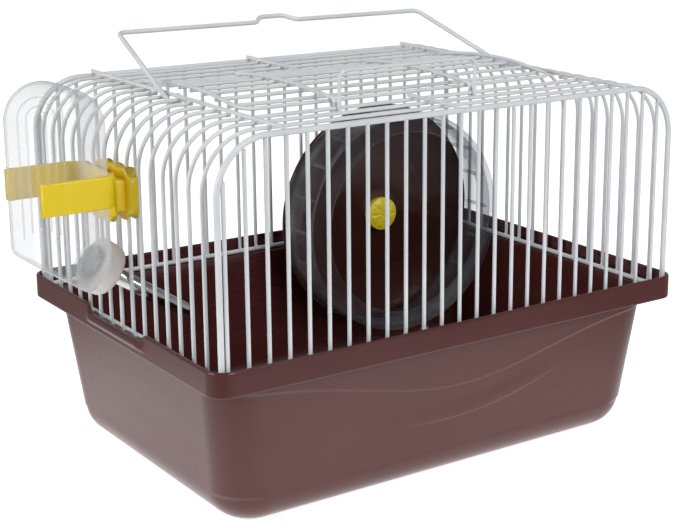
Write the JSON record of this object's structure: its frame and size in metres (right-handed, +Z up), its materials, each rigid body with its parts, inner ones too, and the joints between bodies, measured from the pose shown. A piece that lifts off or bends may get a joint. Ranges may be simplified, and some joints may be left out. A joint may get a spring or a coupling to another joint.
{
  "type": "hamster cage",
  "caption": "Small wire hamster cage with roof door and carrying bail on a tapered plastic tray, with a running wheel inside and a drinking bottle clipped to one end.",
  "frame": {"origin": "centre of the tray's underside, where it stands", "axes": "+X right along the long front wall, +Y from front to back, +Z up"},
  "size_m": [0.2672, 0.1702, 0.1786],
  "materials": {
    "tray_plastic": "smooth injection-moulded brown, faint flow marks, satin inside",
    "wire": "white powder coat over steel wire",
    "drum_plastic": "clear moulded plastic, polished",
    "disc_plastic": "brown moulded plastic",
    "cap_yellow": "bright yellow plastic",
    "clip_yellow": "amber yellow plastic",
    "steel": "bright drawn stainless steel",
    "bracket_plastic": "white plastic",
    "bottle_plastic": "clear blown plastic",
    "bottle_cap_plastic": "translucent white plastic",
    "seal_rubber": "soft white rubber"
  },
  "bodies": {
    "base_tray": {"tray": "tray_plastic"},
    "cage": {"base_wire": "wire", "front_hoop": "wire", "rear_hoop": "wire", "front_bars": "wire", "rear_bars": "wire", "left_side_wires": "wire", "right_side_wires": "wire", "left_shoulder_wires": "wire", "right_shoulder_wires": "wire", "rear_roof_wires": "wire", "front_roof_wires": "wire", "left_roof_stubs": "wire", "right_roof_stubs": "wire", "left_roof_rail": "wire", "right_roof_rail": "wire", "rear_short_rail": "wire", "front_short_rail": "wire", "wheel_axle": "steel", "wheel_bracket": "bracket_plastic", "bracket_clamp": "bracket_plastic", "clamp_screw": "steel"},
    "wheel": {"wheel_drum": "drum_plastic", "wheel_disc": "disc_plastic", "wheel_hub_cap": "cap_yellow"},
    "roof_door": {"door_frame": "wire", "door_bars": "wire", "door_stiffener_left": "wire", "door_stiffener_right": "wire"},
    "latch": {"door_latch": "wire"},
    "bail": {"carry_handle": "wire"},
    "bottle_unit": {"bottle": "bottle_plastic", "bottle_clip": "clip_yellow"},
    "cap_unit": {"bottle_cap": "bottle_cap_plastic", "cap_seal": "seal_rubber", "drinking_tube": "steel"},
    "ball": {"tube_ball": "steel"}
  },
  "joints": [
    {"name": "cage_lift", "type": "slide", "parent": "base_tray", "child": "cage", "axis": [0, 0, 1], "range_m": [0, 0.1]},
    {"name": "wheel_spin", "type": "hinge", "parent": "cage", "child": "wheel", "pos_m": [0.05387, 0.061, 0.0792], "axis": [0, 1, 0], "continuous": true},
    {"name": "door_hinge", "type": "hinge", "parent": "cage", "child": "roof_door", "pos_m": [0, 0.0404, 0.1561], "axis": [-1, 0, 0], "range_deg": [0, 110]},
    {"name": "latch_hinge", "type": "hinge", "parent": "cage", "child": "latch", "pos_m": [-0.0075, -0.0505, 0.1561], "axis": [1, 0, 0], "range_deg": [-75, 65]},
    {"name": "bail_hinge", "type": "hinge", "parent": "cage", "child": "bail", "pos_m": [0, 0.0023, 0.15545], "axis": [-1, 0, 0], "range_deg": [-75, 0]},
    {"name": "bottle_pull", "type": "slide", "parent": "cage", "child": "bottle_unit", "axis": [-0.829, 0, 0.5592], "range_m": [0, 0.045]},
    {"name": "cap_unscrew", "type": "hinge", "parent": "bottle_unit", "child": "cap_unit", "pos_m": [-0.12103, -0.00505, 0.09447], "axis": [0.829, 0, -0.5592], "range_deg": [0, 360]},
    {"name": "ball_travel", "type": "slide", "parent": "cap_unit", "child": "ball", "axis": [-0.829, 0, 0.5592], "range_m": [0, 0.0008]}
  ]
}
